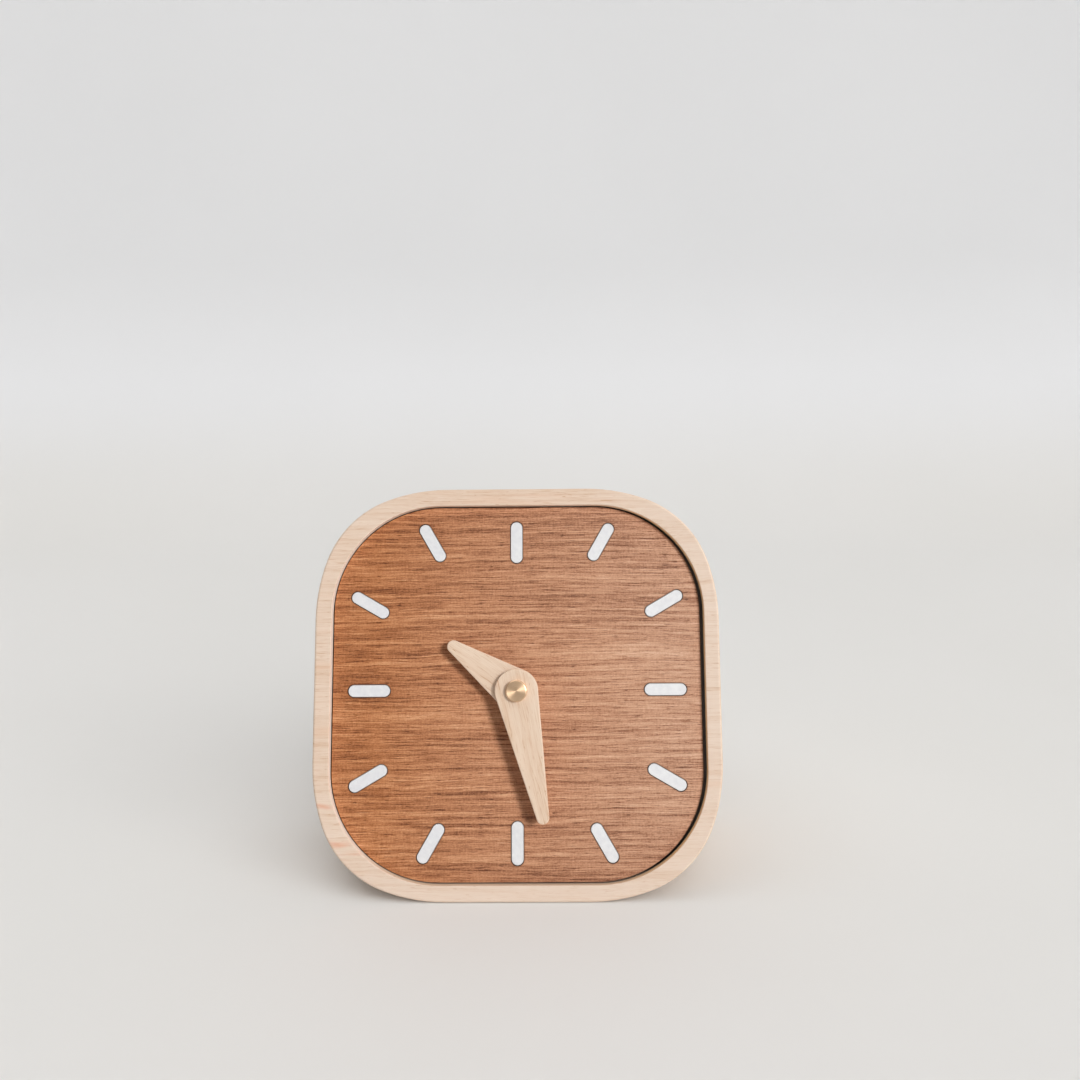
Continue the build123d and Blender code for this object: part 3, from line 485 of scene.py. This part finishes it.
def cell(name):
    """Plain jacket of two colours with bare metal ends, without any printing."""
    m = Mat(name)
    u, v, w = m.local()
    a = m.noise(scaled(m, u, v, w, 0.6, 0.6, 0.6), 1.0, 3.0, 0.6)
    scr = m.noise(scaled(m, u, v, w, 0.35, 4.0, 4.0), 1.0, 3.0, 0.7)
    body = m.ramp(a, [(0.3, srgb(37, 65, 98)), (0.7, srgb(40, 69, 103))])
    lightband = m.ramp(a, [(0.3, srgb(190, 192, 196)), (0.7, srgb(206, 207, 210))])
    col = m.mix(m.span(u, 11.9, 12.0), body, lightband)
    col = m.mix(m.f("MULTIPLY", m.span(u, 10.9, 11.0), m.span(u, 11.6, 11.5)), col, srgb(206, 207, 210))
    col = m.mix(m.span(scr, 0.62, 0.8, 0.0, 0.06), col, srgb(150, 156, 166))
    # bare ends: a rolled jacket edge, then metal
    au = m.f("ABSOLUTE", m.f("ADD", u, 0.4))
    vv, ww = m.f("ADD", v, 18.7), m.f("ADD", w, 20.6)
    rad = m.v("LENGTH", m.xyz(0.0, vv, ww))
    tip = m.f("MULTIPLY", m.span(au, 24.35, 24.45), m.span(rad, 6.75, 6.60))
    metal = m.ramp(scr, [(0.3, srgb(176, 176, 178)), (0.7, srgb(204, 204, 206))])
    col = m.mix(tip, col, metal)
    m.put(m.b.inputs["Metallic"], tip)
    m.bump(scr, 0.01, 0.3)
    m.put(m.b.inputs["Base Color"], col)
    m.put(m.b.inputs["Roughness"], m.span(a, 0.3, 0.7, 0.26, 0.36))
    m.put(m.b.inputs["Normal"], m.normal)
    return m.m


HOUR_DEG, MINUTE_DEG = 304.8, 168.2
mats = {
    "pale": pale_wood("pale_wood"),
    "walnut": walnut("walnut_dial"),
    "white": white_inlay("white_inlay"),
    "hour": pale_wood("hand_wood_hour", math.radians(90 - HOUR_DEG), 40.0, hands=True),
    "minute": pale_wood("hand_wood_minute", math.radians(90 - MINUTE_DEG), 70.0, hands=True),
    "brass": brass("brass_turned"),
    "black": plastic("black_plastic", srgb(28, 28, 30), srgb(36, 36, 38), 0.44, 0.58, 7.0, 0.03),
    "acetal": plastic("white_plastic", srgb(222, 221, 212), srgb(234, 233, 226), 0.34, 0.46, 3.0, 0.01),
    "rubber": rubber("rubber"),
    "steel": steel("steel"),
    "magnet": magnet("magnet"),
    "winding": winding("copper_wire"),
    "board": board("circuit_board"),
    "potting": plastic("potting", srgb(20, 20, 21), srgb(30, 29, 29), 0.18, 0.30, 2.0, 0.02),
    "cell": cell("cell_jacket"),
}
assign = {
    "case_body": "pale", "dial_panel": "walnut", "hour_hand": "hour", "minute_hand": "minute",
    "hand_cap_nut": "brass", "centre_bushing": "brass", "fixing_nut": "brass", "fixing_washer": "brass",
    "hour_hand_bush": "brass", "minute_hand_bush": "brass", "rubber_washer": "rubber",
    "movement_base": "black", "movement_cover": "black", "setting_knob": "black", "setting_shaft": "black",
    "train_bridge": "acetal", "hour_wheel": "acetal", "motion_wheel": "acetal", "centre_wheel": "acetal",
    "third_wheel": "acetal", "seconds_wheel": "acetal", "fifth_wheel": "acetal", "rotor_pinion": "acetal",
    "minute_pipe": "acetal", "coil_bobbin": "acetal",
    "motion_post": "steel", "seconds_arbor": "steel", "stator": "steel", "coil_core": "steel",
    "clutch_washer": "steel", "quartz_crystal": "steel", "contact_plus": "steel", "contact_minus": "steel",
    "rotor_magnet": "magnet", "coil_winding": "winding", "circuit_board": "board", "timing_chip": "potting",
    "battery": "cell",
}
for k in range(1, 13):
    assign["hour_marker_%02d" % k] = "white"
for name, o in nodes.items():
    mat = mats[assign[name]]
    if not o.material_slots:
        o.data.materials.append(mat)
    for s in o.material_slots:
        s.material = mat

# ------------------------------------------------------------------ floor and backdrop
def floor_material():
    m = Mat("pale_floor")
    p = m.obj
    a = m.noise(p, 2.5, 3.0, 0.5)
    b = m.noise(p, 420.0, 3.0, 0.6)
    z = m.split(p)[2]
    low = m.ramp(a, [(0.3, srgb(225, 224, 221)), (0.7, srgb(228, 227, 225))])
    high = m.ramp(a, [(0.3, srgb(233, 234, 236)), (0.7, srgb(237, 238, 240))])
    col = m.mix(m.span(z, 0.0, 0.12), low, high)
    m.bump(b, 0.03, 0.25)
    return m.finish(col, m.span(a, 0.3, 0.7, 0.70, 0.78), spec=0.12)


def sweep():
    """A pale floor that curves up into a backdrop far behind."""
    me = bpy.data.meshes.new("studio_sweep")
    bm = bmesh.new()
    prof = [(-30.0, 0.0), (-3.0, 0.0), (-0.6, 0.0), (0.0, 0.0), (0.42, 0.0)]
    r = 0.22
    for k in range(1, 25):
        a = math.pi / 2 * k / 24
        prof.append((0.42 + r * math.sin(a), r - r * math.cos(a)))
    prof += [(0.64, 0.5), (0.64, 1.6)]
    xs = [-30.0, -4.0, -1.2, -0.4, 0.4, 1.2, 4.0, 30.0]
    grid = [[bm.verts.new((x, y, z)) for x in xs] for y, z in prof]
    for i in range(len(prof) - 1):
        for j in range(len(xs) - 1):
            f = bm.faces.new((grid[i][j], grid[i][j + 1], grid[i + 1][j + 1], grid[i + 1][j]))
            f.smooth = True
    bm.to_mesh(me)
    bm.free()
    o = bpy.data.objects.new("studio_sweep", me)
    bpy.context.scene.collection.objects.link(o)
    o.data.materials.append(floor_material())
    return o


floor = sweep()

# ------------------------------------------------------------------ light
world = bpy.data.worlds.new("studio_world")
bpy.context.scene.world = world
world.use_nodes = True
wt = world.node_tree
bg = wt.nodes["Background"]
bg.inputs[0].default_value = (1.0, 0.96, 0.90, 1.0)
bg.inputs[1].default_value = 0.07
path = wt.nodes.new("ShaderNodeLightPath")
shader = bg.outputs[0]
way = wt.nodes.new("ShaderNodeTexCoord")
part = wt.nodes.new("ShaderNodeSeparateXYZ")
wt.links.new(way.outputs["Generated"], part.inputs[0])
glow = wt.nodes.new("ShaderNodeMapRange")          # reflections are brighter on the window side
wt.links.new(part.outputs[0], glow.inputs["Value"])
for k, q in (("From Min", -0.7), ("From Max", 0.8), ("To Min", 0.14), ("To Max", 0.80)):
    glow.inputs[k].default_value = q
for ray, tone, level in (("Is Glossy Ray", (1.0, 0.99, 0.98, 1.0), glow.outputs[0]),
                         ("Is Camera Ray", (0.97, 0.98, 1.0, 1.0), 0.72)):
    seen = wt.nodes.new("ShaderNodeBackground")
    seen.inputs[0].default_value = tone
    if ray == "Is Camera Ray":
        seen.inputs[1].default_value = level
    else:
        wt.links.new(level, seen.inputs[1])
    pick = wt.nodes.new("ShaderNodeMixShader")
    wt.links.new(path.outputs[ray], pick.inputs[0])
    wt.links.new(shader, pick.inputs[1])
    wt.links.new(seen.outputs[0], pick.inputs[2])
    shader = pick.outputs[0]
wt.links.new(shader, wt.nodes["World Output"].inputs[0])


def soft_sun(name, toward_light, strength, spread_deg, color=(1.0, 1.0, 1.0)):
    """Large, soft and even light from one side."""
    d = bpy.data.lights.new(name, "SUN")
    d.energy = strength
    d.color = color
    d.angle = math.radians(spread_deg)
    o = bpy.data.objects.new(name, d)
    o.rotation_mode = "QUATERNION"
    o.rotation_quaternion = Vector(toward_light).to_track_quat("Z", "Y")
    o.location = Vector(toward_light).normalized() * 2.0
    bpy.context.scene.collection.objects.link(o)
    return o


def limit(lamp, state, *receivers):
    """The light reaches only these pieces (INCLUDE) or everything but them (EXCLUDE)."""
    c = bpy.data.collections.new(lamp.name + "_on")
    for k, o in enumerate(receivers):
        c.objects.link(o)
        c.collection_objects[k].light_linking.link_state = state
    lamp.light_linking.receiver_collection = c


WINDOW = (0.50, -0.76, 0.46)
dial = nodes["dial_panel"]
limit(soft_sun("window_light", WINDOW, 1.94, 14.0, (1.0, 0.99, 0.98)), "EXCLUDE", floor)
limit(soft_sun("side_light", (0.95, -0.25, 0.35), 0.60, 50.0, (1.0, 0.99, 0.98)), "EXCLUDE", dial)
limit(soft_sun("top_light", (-0.10, 0.05, 1.0), 1.05, 70.0, (1.0, 1.0, 1.0)), "EXCLUDE", dial)
soft_sun("rear_light", (-0.42, 0.32, 0.95), 0.40, 50.0, (0.97, 0.98, 1.0))
# on the dial the light comes from the window alone, so that the hands cast a clear shadow
limit(soft_sun("dial_light", WINDOW, 0.60, 14.0, (1.0, 0.99, 0.98)), "INCLUDE", dial)
# on the floor the same light is spread wider, for a faint shadow
limit(soft_sun("floor_light", (0.45, -0.72, 0.54), 1.72, 75.0, (1.0, 0.99, 0.98)), "INCLUDE", floor)

# ------------------------------------------------------------------ camera
cam = bpy.data.cameras.new("photo_camera")
cam.sensor_width = 36.0
cam.lens = 36.0333
cam.shift_y = -0.03367
cam.clip_start = 0.02
cam.clip_end = 20.0
cam_o = bpy.data.objects.new("photo_camera", cam)
cam_o.location = (0.014739, -0.397088, 0.227664)
cam_o.rotation_euler = (math.radians(76.8551), math.radians(0.6419), math.radians(0.6829))
bpy.context.scene.collection.objects.link(cam_o)
bpy.context.scene.camera = cam_o

vs = bpy.context.scene.view_settings
vs.view_transform = "Standard"
vs.look = "None"
vs.exposure = 0.0
vs.gamma = 1.0
